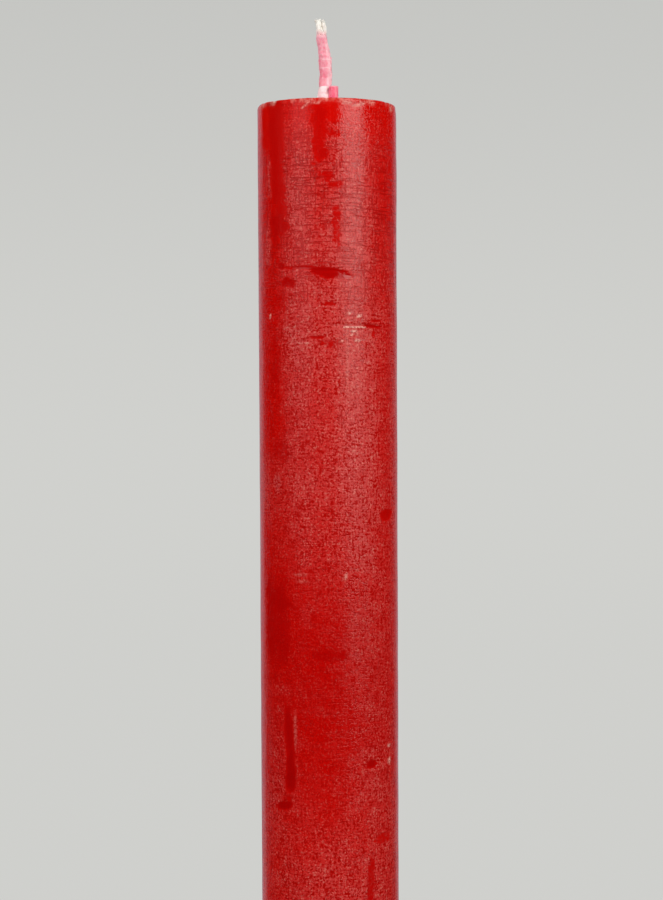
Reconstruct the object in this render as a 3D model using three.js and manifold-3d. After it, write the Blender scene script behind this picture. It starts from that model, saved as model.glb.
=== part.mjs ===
// A slim rustic pillar candle: a cast wax core, the coloured skin it was overdipped in, and a
// three-strand braided cotton wick that stands out of the top, waxed almost to its tip.
// Millimetres, +Z up. The origin is the centre of the flat foot, and the candle's front faces -Y.

import * as THREE from "three";
import { mergeVertices } from "three/addons/utils/BufferGeometryUtils.js";
import Module from "manifold-3d";

const wasm = await Module();
wasm.setup();

// ---- Driving dimensions ----
const BODY_HEIGHT = 250;
const BODY_RADIUS = 12.5;
const ROUND_SEGMENTS = 64;

const SKIN_THICKNESS = 1.5;
const RIM_FLARE = 0.18; // how much wider the top end is than the body
const FLARE_START = 150; // below the rim
const FLARE_END = 5;
const RIM_ROUNDING = 0.35;
const FOOT_CHAMFER = 0.4;

const WICK_HOLE_RADIUS = 1.1;
const WICK_STAND_OUT = 16.4; // above the top face
const WICK_FOOT_GAP = 0.4; // the wick is trimmed just inside the foot
const BRAID_CYCLES = 18; // whole cycles of the three-strand plait along the wick
const BRAID_STEPS = 12; // per cycle, so that every crossing falls on a step
const BRAID_HALF_WIDTH = 0.66;
const BRAID_HALF_DEPTH = 0.42;
const STRAND_RADIUS = 0.29;
const STRAND_SIDES = 5;
const LEAN_START = 4; // above the top face, where the wick begins to curl
const LEAN_RATE = 0.0081; // mm of lean per mm of height squared

const COAT_BORE_RADIUS = 1.02;
const COAT_FOOT_RADIUS = 1.24;
const COAT_TIP_RADIUS = 1.08;
const COAT_TOP = 13.5; // above the top face; the last of the wick is bare
const COAT_RINGS = 8;
const COAT_SEGMENTS = 24;

const BEAD_HEIGHT = 3.9;
const BEAD_FOOT_RADIUS = 2.2;
const BEAD_NECK_RADIUS = 1.28;
const BEAD_RINGS = 6;

const STUB_PLACE = new THREE.Vector2(1.3, -1.7);
const STUB_RADIUS = 0.92;
const STUB_HEIGHT = 3.8;
const STUB_ROUNDING = 0.22;
const STUB_SEGMENTS = 20;
const STUB_GAP = 0.08;

const CORE_RADIUS = BODY_RADIUS - SKIN_THICKNESS;
const CORE_HEIGHT = BODY_HEIGHT - SKIN_THICKNESS;

// ---- Materials ----
const wax = (colour, roughness) =>
  new THREE.MeshStandardMaterial({ color: colour, roughness, metalness: 0 });

const redWax = wax(0xb0171a, 0.45);
const paleWax = wax(0xf0e4cc, 0.6);
const pinkWax = wax(0xee99a8, 0.5);
const rootWax = wax(0xf6c0c6, 0.5);
const stubWax = wax(0xf0728a, 0.45);
const cotton = wax(0xefe6d8, 0.95);

// ---- Shared shapes ----
// A profile of [radius, height] pairs, turned about +Z. It closes on itself.
function turned(profile, segments) {
  const points = [...profile, profile[0]].map(([r, z]) => new THREE.Vector2(r, z));
  return new THREE.LatheGeometry(points, segments).rotateX(Math.PI / 2);
}

// Points of a quarter circle from the side of a rim to its top.
function roundedRim(radius, top, rounding, steps = 4) {
  return Array.from({ length: steps + 1 }, (_, i) => {
    const angle = (i / steps) * (Math.PI / 2);
    return [
      radius - rounding * (1 - Math.cos(angle)),
      top - rounding * (1 - Math.sin(angle)),
    ];
  });
}

// How far the free wick leans towards -X at a height above the top face.
const lean = (height) => -LEAN_RATE * Math.max(0, height - LEAN_START) ** 2;

// Moves a solid that was turned straight on to the leaning line of the wick.
function leant(geometry) {
  const at = geometry.attributes.position;
  for (let i = 0; i < at.count; i++)
    at.setX(i, at.getX(i) + lean(at.getZ(i) - BODY_HEIGHT));
  return geometry;
}

function solidOf(geometry) {
  const bare = geometry.clone();
  bare.deleteAttribute("normal");
  bare.deleteAttribute("uv");
  const merged = mergeVertices(bare, 1e-4);
  return new wasm.Manifold(
    new wasm.Mesh({
      numProp: 3,
      vertProperties: merged.attributes.position.array,
      triVerts: new Uint32Array(merged.index.array),
    }),
  );
}

function geometryOf(solid) {
  const { vertProperties, triVerts } = solid.getMesh();
  return new THREE.BufferGeometry()
    .setAttribute("position", new THREE.BufferAttribute(vertProperties, 3))
    .setIndex(new THREE.BufferAttribute(triVerts, 1));
}

const part = (name, geometry, material) => {
  const mesh = new THREE.Mesh(geometry, material);
  mesh.name = name;
  return mesh;
};

// ---- Wax body ----
// The pale cast core, with the wick's bore open at both ends.
function waxCore() {
  const profile = [
    [WICK_HOLE_RADIUS, 0],
    [CORE_RADIUS, 0],
    [CORE_RADIUS, CORE_HEIGHT],
    [WICK_HOLE_RADIUS, CORE_HEIGHT],
  ];
  return part("wax_core", turned(profile, ROUND_SEGMENTS), paleWax);
}

// The red skin: a wall all round, a cap on top with the wick's hole, and an open trimmed foot.
function overdipShell() {
  const profile = [
    [CORE_RADIUS, 0],
    [BODY_RADIUS - FOOT_CHAMFER, 0],
    [BODY_RADIUS, FOOT_CHAMFER],
    [BODY_RADIUS, BODY_HEIGHT - FLARE_START],
    [BODY_RADIUS + RIM_FLARE, BODY_HEIGHT - FLARE_END],
    ...roundedRim(BODY_RADIUS + RIM_FLARE, BODY_HEIGHT, RIM_ROUNDING),
    [WICK_HOLE_RADIUS, BODY_HEIGHT],
    [WICK_HOLE_RADIUS, CORE_HEIGHT],
    [CORE_RADIUS, CORE_HEIGHT],
  ];
  return part("overdip_shell", turned(profile, ROUND_SEGMENTS), redWax);
}

// ---- Wick ----
// One strand of the flat braid, from just inside the foot to the tip.
class BraidStrand extends THREE.Curve {
  constructor(phase) {
    super();
    this.phase = phase;
  }

  // Steps are equal in height, so that all three strands share the same levels.
  getUtoTmapping(u) {
    return u;
  }

  getPoint(t, target = new THREE.Vector3()) {
    const top = BODY_HEIGHT + WICK_STAND_OUT;
    const z = WICK_FOOT_GAP + t * (top - WICK_FOOT_GAP);
    const turn = 2 * Math.PI * BRAID_CYCLES * t + this.phase;
    return target.set(
      BRAID_HALF_WIDTH * Math.sin(turn) + lean(z - BODY_HEIGHT),
      BRAID_HALF_DEPTH * Math.sin(2 * turn),
      z,
    );
  }
}

function wickStrand(name, phase) {
  const section = new THREE.Shape(
    Array.from({ length: STRAND_SIDES }, (_, i) => {
      const angle = (2 * Math.PI * i) / STRAND_SIDES;
      return new THREE.Vector2(Math.cos(angle), Math.sin(angle)).multiplyScalar(STRAND_RADIUS);
    }),
  );
  const geometry = new THREE.ExtrudeGeometry(section, {
    steps: BRAID_CYCLES * BRAID_STEPS,
    extrudePath: new BraidStrand(phase),
    bevelEnabled: false,
  });
  return part(name, geometry, cotton);
}

// The pink wax on the free wick, from the root bead to just below the bare tip.
function wickWaxCoat() {
  const foot = BODY_HEIGHT + BEAD_HEIGHT;
  const top = BODY_HEIGHT + COAT_TOP;
  const wall = (rFoot, rTop) =>
    Array.from({ length: COAT_RINGS + 1 }, (_, i) => {
      const t = i / COAT_RINGS;
      return [rFoot + (rTop - rFoot) * t, foot + (top - foot) * t];
    });
  const profile = [
    ...wall(COAT_FOOT_RADIUS, COAT_TIP_RADIUS),
    ...wall(COAT_BORE_RADIUS, COAT_BORE_RADIUS - 0.04).reverse(),
  ];
  return part("wick_wax_coat", leant(turned(profile, COAT_SEGMENTS)), pinkWax);
}

// The flat-topped peg of dyed wax that stands beside the wick.
function stubGeometry(radius) {
  const rim = roundedRim(radius, STUB_HEIGHT, STUB_ROUNDING, 3);
  const points = [[0, 0], [radius, 0], ...rim, [0, STUB_HEIGHT]].map(
    ([r, z]) => new THREE.Vector2(r, z),
  );
  return new THREE.LatheGeometry(points, STUB_SEGMENTS)
    .rotateX(Math.PI / 2)
    .translate(STUB_PLACE.x, STUB_PLACE.y, BODY_HEIGHT);
}

// The pale bead of wax round the wick's root, which flares on to the top face beside the stub.
function wickRootBead() {
  const outside = Array.from({ length: BEAD_RINGS + 1 }, (_, i) => {
    const t = i / BEAD_RINGS;
    const flare = (BEAD_FOOT_RADIUS - BEAD_NECK_RADIUS) * (1 - t) ** 3;
    return [BEAD_NECK_RADIUS + flare, BODY_HEIGHT + BEAD_HEIGHT * t];
  });
  const profile = [
    ...outside,
    [COAT_BORE_RADIUS, BODY_HEIGHT + BEAD_HEIGHT],
    [COAT_BORE_RADIUS, BODY_HEIGHT],
  ];
  const bead = solidOf(turned(profile, COAT_SEGMENTS));
  const room = solidOf(stubGeometry(STUB_RADIUS + STUB_GAP));
  return part("wick_root_bead", geometryOf(bead.subtract(room)), rootWax);
}

const candle = new THREE.Group();
candle.add(
  waxCore(),
  overdipShell(),
  ...["a", "b", "c"].map((letter, i) => wickStrand(`wick_strand_${letter}`, (2 * Math.PI * i) / 3)),
  wickWaxCoat(),
  wickRootBead(),
  part("wax_stub", stubGeometry(STUB_RADIUS), stubWax),
);

export default candle;
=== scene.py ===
"""The looks of the slim rustic pillar candle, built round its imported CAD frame.

The red skin is one dense mesh with real gouges, cracks, chips and flakes. Its masks for frost, bare
wax, pits, flakes and strokes come from the same lists of marks and clouds as its relief, and are
stored on its vertices. Its material adds the grain that is finer than the mesh. The wick is a plait
of plied cotton yarn inside a coat of pink wax.

The camera, the lights and the room are in metres. Everything on the candle is in millimetres until
its mesh is made, and angles round it are degrees from its front, which faces -Y, towards +X.
"""

import math
from collections import namedtuple

import bpy
import numpy as np
from mathutils import Euler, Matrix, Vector


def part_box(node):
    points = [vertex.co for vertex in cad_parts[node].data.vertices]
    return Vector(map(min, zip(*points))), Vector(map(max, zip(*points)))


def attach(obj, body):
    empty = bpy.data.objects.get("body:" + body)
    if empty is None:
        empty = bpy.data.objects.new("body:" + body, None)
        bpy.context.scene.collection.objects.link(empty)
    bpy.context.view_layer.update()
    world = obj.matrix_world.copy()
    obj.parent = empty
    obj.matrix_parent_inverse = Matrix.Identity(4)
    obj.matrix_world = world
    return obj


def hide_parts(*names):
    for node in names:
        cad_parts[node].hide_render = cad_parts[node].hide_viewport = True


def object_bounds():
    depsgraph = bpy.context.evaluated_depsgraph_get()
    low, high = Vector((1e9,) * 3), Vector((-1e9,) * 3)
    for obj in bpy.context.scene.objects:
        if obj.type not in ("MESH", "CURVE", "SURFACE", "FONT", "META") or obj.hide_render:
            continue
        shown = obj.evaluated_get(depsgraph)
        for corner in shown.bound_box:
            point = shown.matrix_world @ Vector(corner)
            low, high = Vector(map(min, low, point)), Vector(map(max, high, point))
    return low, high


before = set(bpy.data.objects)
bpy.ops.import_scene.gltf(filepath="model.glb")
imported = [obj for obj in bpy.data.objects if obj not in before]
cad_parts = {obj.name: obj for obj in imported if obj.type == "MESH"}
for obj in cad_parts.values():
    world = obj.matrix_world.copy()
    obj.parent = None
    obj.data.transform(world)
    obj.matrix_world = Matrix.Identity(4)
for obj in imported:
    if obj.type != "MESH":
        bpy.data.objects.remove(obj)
cad_low, cad_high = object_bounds()

MM = 0.001
TAU = 2 * math.pi

# ---- Sizes from the CAD frame, in millimetres ----
_, shell_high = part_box("overdip_shell")
_, core_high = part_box("wax_core")
_, coat_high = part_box("wick_wax_coat")
stub_low, stub_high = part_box("wax_stub")

TOP = shell_high.z / MM
FLARED_RADIUS = shell_high.x / MM
FLARE = 0.18  # how much wider the top end is than the body
BODY_RADIUS = FLARED_RADIUS - FLARE
FLARE_FROM, FLARE_TO = 150.0, 5.0  # below the rim
CORE_RADIUS = core_high.x / MM
CORE_TOP = core_high.z / MM
WICK_HOLE = 1.1
RIM_ROUNDING = 0.35
FOOT_ROUNDING = 0.4
TIP = cad_high.z / MM


# ---- Camera, lights and room, in metres ----
CAMERA_DISTANCE = 0.3979
CAMERA_HEIGHT = 0.1918
CAMERA_PITCH, CAMERA_YAW, CAMERA_ROLL = 0.61, 0.0844, 0.271  # degrees down, right and round
LENS_MM, SENSOR_MM = 86.92, 36.0
CLIP_NEAR, CLIP_FAR = 0.01, 50


def add_camera():
    data = bpy.data.cameras.new("camera")
    data.lens, data.sensor_width = LENS_MM, SENSOR_MM
    data.clip_start, data.clip_end = CLIP_NEAR, CLIP_FAR
    camera = bpy.data.objects.new("camera", data)
    bpy.context.scene.collection.objects.link(camera)
    camera.location = (0, -CAMERA_DISTANCE, CAMERA_HEIGHT)
    camera.rotation_euler = Euler(
        (math.radians(90 - CAMERA_PITCH), math.radians(CAMERA_ROLL), -math.radians(CAMERA_YAW))
    )
    bpy.context.scene.camera = camera


# Azimuth in degrees, distance, bottom and top edge and width in metres, radiance, and how much blue
# the light has beside its red and green.
Softbox = namedtuple("Softbox", "name azimuth distance bottom top width radiance blue")
SOFTBOXES = [
    Softbox("softbox_right", 42.0, 0.5, 0.215, 0.75, 0.344, 4.5, 0.95),
    Softbox("softbox_left", -41.0, 0.5, 0.215, 0.75, 0.277, 0.90, 0.985),
]
FILLS = [  # these are hidden from reflections, and only lift the wax's own colour
    Softbox("fill_left", -62.0, 0.6, 0.25, 0.85, 0.60, 2.2, 1.0),
    Softbox("fill_behind", 180.0, 0.9, 0.0, 0.9, 0.9, 1.5, 1.0),
]
ROOM_FRONT, ROOM_BEHIND = 0.22, 0.45  # the room's light from the camera's side and from behind
ROOM_COLOR = (1, 1, 0.985)


def add_softbox(box, reflected):
    data = bpy.data.lights.new(box.name, "AREA")
    data.shape = "RECTANGLE"
    data.size, data.size_y = box.width, box.top - box.bottom
    data.color = (1.0, 1.0, box.blue)
    data.energy = box.radiance * math.pi * data.size * data.size_y
    lamp = bpy.data.objects.new(box.name, data)
    bpy.context.scene.collection.objects.link(lamp)
    angle = math.radians(box.azimuth)
    away = Vector((math.sin(angle), -math.cos(angle), 0))
    lamp.location = away * box.distance + Vector((0, 0, (box.top + box.bottom) / 2))
    lamp.rotation_mode = "QUATERNION"
    lamp.rotation_quaternion = away.to_track_quat("Z", "Y")
    lamp.visible_camera = False
    lamp.visible_glossy = reflected


def add_room_light():
    """Soft light from all round, brighter from behind. It lights the wax and shows in no reflection."""
    world = bpy.data.worlds.new("studio")
    world.use_nodes = True
    tree = world.node_tree
    direction = tree.nodes.new("ShaderNodeTexCoord")
    split = tree.nodes.new("ShaderNodeSeparateXYZ")
    level = tree.nodes.new("ShaderNodeMapRange")
    tree.links.new(direction.outputs["Generated"], split.inputs[0])
    tree.links.new(split.outputs["Y"], level.inputs["Value"])
    levels = {"From Min": -1, "From Max": 1, "To Min": ROOM_FRONT, "To Max": ROOM_BEHIND}
    for key, value in levels.items():
        level.inputs[key].default_value = value
    background = tree.nodes["Background"]
    tree.links.new(level.outputs[0], background.inputs["Strength"])
    background.inputs["Color"].default_value = (*ROOM_COLOR, 1)
    world.cycles_visibility.glossy = False
    bpy.context.scene.world = world


BOWL_RADIUS, BOWL_COVE, BOWL_HEIGHT = 1.9, 0.7, 2.6
BOWL_STEPS, COVE_STEPS = 96, 12
FAR_WALL_LEFT, FAR_WALL_RIGHT = 42, 34  # degrees each side of +Y


def bowl_profile():
    """The floor, the cove and the wall, as (radius, height) from the middle outwards."""
    flat = BOWL_RADIUS - BOWL_COVE
    cove = [
        (flat + BOWL_COVE * math.sin(a), BOWL_COVE * (1 - math.cos(a)))
        for a in np.linspace(0, math.pi / 2, COVE_STEPS)
    ]
    return [(0.0, 0.0), (flat / 2, 0.0), *cove, (BOWL_RADIUS, BOWL_HEIGHT)]


def add_bowl(name, start, end, material, reflected_only=False):
    """One sector of the round studio bowl, from azimuth start to end in degrees from the front."""
    profile = bowl_profile()
    steps = max(3, round(BOWL_STEPS * (end - start) / 360))
    angles = np.radians(np.linspace(start, end, steps + 1))
    verts = [(r * math.sin(a), -r * math.cos(a), z) for r, z in profile for a in angles]
    width = steps + 1
    faces = [
        (row * width + i, row * width + i + 1, (row + 1) * width + i + 1, (row + 1) * width + i)
        for row in range(len(profile) - 1)
        for i in range(steps)
    ]
    mesh = bpy.data.meshes.new(name)
    mesh.from_pydata(verts, [], faces)
    mesh.materials.append(material)
    mesh.shade_smooth()
    bowl = bpy.data.objects.new(name, mesh)
    bpy.context.scene.collection.objects.link(bowl)
    bowl.visible_glossy, bowl.visible_camera = reflected_only, not reflected_only
    bowl.visible_diffuse = bowl.visible_shadow = False  # the room light passes through it


# ---- Node graphs ----
SOCKETS = {
    "color": "Base Color",
    "roughness": "Roughness",
    "normal": "Normal",
    "ior": "IOR",
    "specular": "Specular IOR Level",
    "emission": "Emission Color",
    "glow": "Emission Strength",
    "sheen": "Sheen Weight",
    "scatter": "Subsurface Weight",
    "scatter_scale": "Subsurface Scale",
    "scatter_radius": "Subsurface Radius",
}


class Graph:
    """Short calls that build a material's nodes. Any value may be a number or another node's output."""

    def __init__(self, name):
        self.material = bpy.data.materials.new(name)
        self.material.use_nodes = True
        self.tree = self.material.node_tree
        self.shader = self.tree.nodes["Principled BSDF"]
        self.place = self.add("ShaderNodeTexCoord").outputs["Object"]

    def add(self, kind, **settings):
        node = self.tree.nodes.new(kind)
        for key, value in settings.items():
            setattr(node, key, value)
        return node

    def put(self, value, socket):
        if isinstance(value, bpy.types.NodeSocket):
            self.tree.links.new(value, socket)
        else:
            socket.default_value = value

    def math(self, operation, *values, clamp=False):
        node = self.add("ShaderNodeMath", operation=operation, use_clamp=clamp)
        for value, socket in zip(values, node.inputs):
            self.put(value, socket)
        return node.outputs[0]

    def times(self, a, b):
        return self.math("MULTIPLY", a, b)

    def plus(self, a, b):
        return self.math("ADD", a, b)

    def minus(self, a, b):
        return self.math("SUBTRACT", a, b)

    def larger(self, a, b):
        return self.math("MAXIMUM", a, b)

    def step(self, value, zero_at, one_at):
        """0 up to one value and 1 from the other on, and smooth between them. Either may be larger."""
        node = self.add("ShaderNodeMapRange", interpolation_type="SMOOTHSTEP")
        for key, x in zip(("Value", "From Min", "From Max"), (value, zero_at, one_at)):
            self.put(x, node.inputs[key])
        return node.outputs["Result"]

    def remap(self, value, low, high, new_low, new_high):
        node = self.add("ShaderNodeMapRange")
        keys = ("Value", "From Min", "From Max", "To Min", "To Max")
        for key, x in zip(keys, (value, low, high, new_low, new_high)):
            self.put(x, node.inputs[key])
        return node.outputs["Result"]

    def between(self, value, at_zero, at_one):
        """A number that goes from at_zero to at_one as the value goes from 0 to 1."""
        return self.remap(value, 0, 1, at_zero, at_one)

    def scaled_place(self, sizes, shift):
        """The piece's own coordinates in units of these sizes in millimetres, and shifted."""
        node = self.add("ShaderNodeMapping")
        self.put(self.place, node.inputs["Vector"])
        node.inputs["Scale"].default_value = [1 / (size * MM) for size in sizes]
        node.inputs["Location"].default_value = (shift, shift * 1.7, shift * 2.3)
        return node.outputs[0]

    def noise(self, sizes, detail=2.0, roughness=0.5, shift=0.0):
        """Noise whose features are about this many millimetres along X, Y and Z."""
        sizes = sizes if isinstance(sizes, tuple) else (sizes,) * 3
        node = self.add("ShaderNodeTexNoise")
        self.put(self.scaled_place(sizes, shift), node.inputs["Vector"])
        for key, value in (("Scale", 1), ("Detail", detail), ("Roughness", roughness)):
            node.inputs[key].default_value = value
        return node.outputs["Fac"]

    def dots(self, spacing, radius, shift=0.0):
        """1 inside small round dots about this far apart, and 0 between them."""
        node = self.add("ShaderNodeTexVoronoi")
        self.put(self.scaled_place((spacing,) * 3, shift), node.inputs["Vector"])
        node.inputs["Scale"].default_value = 1
        rim = radius / spacing
        return self.step(node.outputs["Distance"], rim, rim * 0.35)

    def stored(self, name):
        """A value stored on the mesh's vertices."""
        return self.add("ShaderNodeAttribute", attribute_name=name).outputs["Fac"]

    def blend(self, amount, a, b):
        node = self.add("ShaderNodeMix", data_type="RGBA")
        self.put(amount, node.inputs[0])
        for value, socket in ((a, node.inputs[6]), (b, node.inputs[7])):
            self.put(value if isinstance(value, bpy.types.NodeSocket) else (*value, 1), socket)
        return node.outputs[2]

    def bump(self, height, depth, under=None):
        """A normal bent by a height from 0 to 1 that stands for this many millimetres."""
        node = self.add("ShaderNodeBump")
        node.inputs["Distance"].default_value = depth * MM
        node.inputs["Strength"].default_value = 1
        self.put(height, node.inputs["Height"])
        if under is not None:
            self.put(under, node.inputs["Normal"])
        return node.outputs["Normal"]

    def finish(self, **inputs):
        for key, value in inputs.items():
            if isinstance(value, tuple) and key in ("color", "emission"):
                value = (*value, 1)
            self.put(value, self.shader.inputs[SOCKETS[key]])
        return self.material


# ---- Materials ----
DEEP_RED = (0.665, 0.0022, 0.0004)
# the next red darkens the pit masks, as painted shade in the gouges, cracks and notch
PIT_RED = (0.40, 0.0002, 0.0004)
# the next red is painted shade for the pores and strokes
PORE_SHADE_RED = (0.43, 0.0016, 0.0004)
FROST_PINK = (0.92, 0.355, 0.33)
# the next pink is for flecks on the grain's peaks, partly pale frost and partly painted glints
FLECK_GLINT_PINK = (0.95, 0.50, 0.39)
FLAKE_PINK = (0.95, 0.56, 0.46)
CORE_DARK, CORE_LIGHT = (0.74, 0.62, 0.45), (0.88, 0.79, 0.62)
COAT_PINK, COAT_PALE = (0.88, 0.23, 0.32), (0.97, 0.60, 0.66)
ROOT_PINK, ROOT_PALE = (0.95, 0.46, 0.52), (0.98, 0.84, 0.84)
STUB_PINK, STUB_PALE = (0.86, 0.05, 0.17), (0.97, 0.36, 0.43)
COTTON_SHADE, COTTON_WHITE = (0.86, 0.80, 0.70), (0.97, 0.95, 0.93)
WAXED_COTTON = (0.93, 0.50, 0.54)

VEIL_STRENGTH = 0.185  # how much of its pink the frost shows where it is thickest
STROKE_DULLING = 0.10  # roughness added in the strokes
DENT_DEPTH, CRUST_DEPTH = 0.030, 0.022  # millimetres
STROKE_DEPTH = 3.2  # times the crust's
RED_IOR, CORE_IOR, PINK_IOR = 1.39, 1.44, 1.40


def red_wax(name, smoothest, roughest, shine):
    """Deep red under patchy pale frost that pores, crystals and level and upright strokes break up,
    with painted shade darkening the pores and strokes.
    """
    g = Graph(name)
    pit, flake, cut = g.stored("pit"), g.stored("flake"), g.stored("cut")

    # noise of each kind, in millimetres
    speckle = g.noise(0.37, detail=2, roughness=0.6, shift=3.1)
    grit = g.noise(0.34, detail=1, shift=6.6)
    upright = g.noise((0.34, 0.34, 1.7), shift=5.7)
    level = g.noise((1.8, 1.8, 0.31), shift=8.2)
    long_upright = g.noise((0.36, 0.36, 3.0), shift=7.3)
    long_level = g.noise((3.6, 3.6, 0.34), shift=2.9)
    drift = g.noise(2.4, shift=1.3)
    dents = g.noise(1.1, detail=1.5, shift=9.4)
    edges = g.noise(0.8, detail=2.5, roughness=0.6, shift=0.9)

    # frost, left off where the wax is bare, with ragged edges
    ragged = g.times(g.minus(edges, 0.5), 1.3)
    bare = g.step(g.plus(g.stored("bare"), ragged), 0.22, 0.58)
    frost = g.times(g.stored("frost"), g.between(bare, 1.0, 0.05))
    patches = g.between(g.step(drift, 0.35, 0.65), 0.75, 1.2)

    # pores between the crust's grains, and strokes cut through it; their darker red is painted shade in
    # these hollows
    weave = g.plus(g.times(speckle, 0.54), g.times(g.plus(upright, level), 0.23))
    crust = g.step(weave, 0.44, 0.55)
    strokes = g.larger(g.step(long_level, 0.425, 0.385), g.step(long_upright, 0.405, 0.37))
    strokes = g.times(strokes, cut)
    broken = g.times(
        g.between(g.step(frost, 0.0, 0.35), 0.62, 1.0),
        g.minus(1.0, g.times(bare, 0.75)),
    )
    broken = g.times(broken, g.remap(cut, 0.2, 0.9, 1.0, 0.8))
    pore_and_shade = g.larger(g.times(g.step(crust, 0.52, 0.0), broken), strokes)

    # colour, from the deep red up to the palest flakes
    veil = g.times(g.times(frost, patches), g.between(pore_and_shade, 1.0, 0.12))
    veil = g.math("MULTIPLY", veil, VEIL_STRENGTH, clamp=True)
    # pale flecks on the grain's peaks: partly pale frost, partly painted glints where the peaks catch
    # the light
    peaks = g.step(g.plus(g.times(weave, 0.5), g.times(grit, 0.5)), 0.54, 0.62)
    fleck_and_glint = g.times(g.times(peaks, patches), g.times(broken, g.remap(frost, 0, 0.6, 0.08, 0.28)))
    crystal_places = g.times(g.step(drift, 0.5, 0.6), g.step(frost, 0.05, 0.4))
    crystal = g.times(g.times(g.dots(1.3, 0.17, shift=4.4), crystal_places), 0.2)
    ragged_flake = g.times(flake, g.between(g.step(speckle, 0.40, 0.56), 0.25, 1.0))
    color = g.blend(veil, DEEP_RED, FROST_PINK)
    # painted glints, mixed with pale frost, on the grain's peaks
    color = g.blend(fleck_and_glint, color, FLECK_GLINT_PINK)
    # painted shade: the pores and strokes get a darker red
    color = g.blend(g.times(pore_and_shade, 0.85), color, PORE_SHADE_RED)
    # the pit masks' darker red: painted shade in the gouges, cracks and notch, and darker patches
    # elsewhere
    color = g.blend(g.times(pit, 0.85), color, PIT_RED)
    color = g.blend(g.larger(crystal, ragged_flake), color, FLAKE_PINK)

    roughness = g.remap(veil, 0.0, 0.12, smoothest, roughest)
    roughness = g.plus(roughness, g.times(strokes, STROKE_DULLING))
    normal = g.bump(g.times(dents, g.between(bare, 1.0, 0.5)), DENT_DEPTH)
    height = g.minus(g.times(crust, broken), g.times(strokes, STROKE_DEPTH))
    normal = g.bump(height, CRUST_DEPTH, under=normal)
    return g.finish(color=color, roughness=roughness, normal=normal, ior=RED_IOR, specular=shine)


def mottled_wax(name, dark, light, size, roughness):
    """Plain wax whose colour drifts between two tones, with a fine grain."""
    g = Graph(name)
    drift = g.noise(size, detail=3)
    fine = g.noise(size / 6, detail=2, shift=2.2)
    amount = g.plus(g.times(g.step(drift, 0.35, 0.65), 0.7), g.times(fine, 0.3))
    color = g.blend(amount, dark, light)
    rough = g.remap(fine, 0.3, 0.7, roughness - 0.06, roughness + 0.08)
    return g.finish(color=color, roughness=rough, normal=g.bump(fine, 0.010), ior=CORE_IOR)


def toned_wax(name, dark, light, roughness, grain=0.7):
    """Wax whose two tones are mixed by the stored value "tone", with fine fibres showing through."""
    g = Graph(name)
    fibre = g.noise((0.16, 0.16, 1.1))
    lumps = g.noise(0.45, shift=2.7)
    grain_here = g.times(g.minus(g.plus(fibre, lumps), 1.0), grain)
    amount = g.math("ADD", g.stored("tone"), grain_here, clamp=True)
    return g.finish(
        color=g.blend(amount, dark, light),
        roughness=roughness,
        normal=g.bump(g.plus(fibre, lumps), 0.05),
        ior=PINK_IOR,
        scatter=0.12,
        scatter_scale=0.001,
        scatter_radius=(1.0, 0.5, 0.4),
    )


def cotton():
    """Bleached cotton yarn: pale, matte and fibrous, pink where wax has crept up it."""
    g = Graph("wick_cotton")
    fibre = g.noise((0.07, 0.07, 0.6))
    color = g.blend(g.step(fibre, 0.3, 0.7), COTTON_SHADE, COTTON_WHITE)
    color = g.blend(g.stored("tone"), color, WAXED_COTTON)
    return g.finish(color=color, roughness=0.9, normal=g.bump(fibre, 0.02), sheen=0.2)


# The bowl glows by itself, so that it looks evenly lit. Heights are in metres.
BOWL_COLOR, BOWL_GLOW = (0.995, 1.0, 0.965), 0.629
WALL_DIMMING, WALL_DIMS_FROM, WALL_DIMS_TO = 0.076, 0.15, 0.75
FLOOR_DIMMING, FLOOR_DIMS_TO = 0.007, 0.12
FAR_WALL_COLOR, FAR_WALL_GLOW = (0.98, 0.90, 1.0), 0.44


def glowing(g, color, glow):
    black = (0.0, 0.0, 0.0)
    return g.finish(color=black, roughness=1.0, specular=0.0, emission=color, glow=glow)


def bowl_paint():
    """Pale grey glow in place of lit paint, even except for painted shade: a little dimmer higher up
    the wall and down on the floor.
    """
    g = Graph("bowl_paint")
    place = g.add("ShaderNodeSeparateXYZ")
    g.put(g.place, place.inputs[0])
    height = place.outputs["Z"]
    dimming = g.times(g.step(height, WALL_DIMS_FROM, WALL_DIMS_TO), WALL_DIMMING)
    off_floor = g.times(g.step(height, 0.0, FLOOR_DIMS_TO), FLOOR_DIMMING)
    return glowing(g, BOWL_COLOR, g.plus(g.minus(BOWL_GLOW, dimming), off_floor))


def far_wall_paint():
    """The dimmer, cooler wall that the candle's edges reflect."""
    return glowing(Graph("far_wall_paint"), FAR_WALL_COLOR, FAR_WALL_GLOW)


# ---- Smooth noise that closes on itself round the candle ----
def wander(turn, height, cells_round, cells_up, seed):
    """Smooth random values from -1 to 1 at turns round the candle and heights from 0 to 1."""
    table = np.random.default_rng(seed).uniform(-1, 1, (cells_up + 2, cells_round))
    u, v = (turn % 1.0) * cells_round, np.clip(height, 0, 1) * cells_up
    i, j = np.floor(u).astype(int), np.floor(v).astype(int)
    fu, fv = u - i, v - j
    fu, fv = fu * fu * (3 - 2 * fu), fv * fv * (3 - 2 * fv)
    i, k = i % cells_round, (i + 1) % cells_round
    low = table[j, i] * (1 - fu) + table[j, k] * fu
    high = table[j + 1, i] * (1 - fu) + table[j + 1, k] * fu
    return low * (1 - fv) + high * fv


def wander_octaves(turn, height, cells_round, cells_up, seed, octaves=3):
    """The same with finer and weaker layers added, each half the size and half the strength."""
    total, weight, size = 0.0, 1.0, 0.0
    for n in range(octaves):
        total = total + weight * wander(turn, height, cells_round << n, cells_up << n, seed + n)
        size += weight
        weight /= 2
    return total / size


def smooth(x, zero_at, one_at):
    """0 up to one value and 1 from the other on, and smooth between them. Either may be larger."""
    t = np.clip((x - zero_at) / (one_at - zero_at), 0, 1)
    return t * t * (3 - 2 * t)


def hump(x, middle, half_width):
    """1 at the middle, falling off smoothly to both sides."""
    return np.exp(-(((x - middle) / half_width) ** 2))
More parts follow.
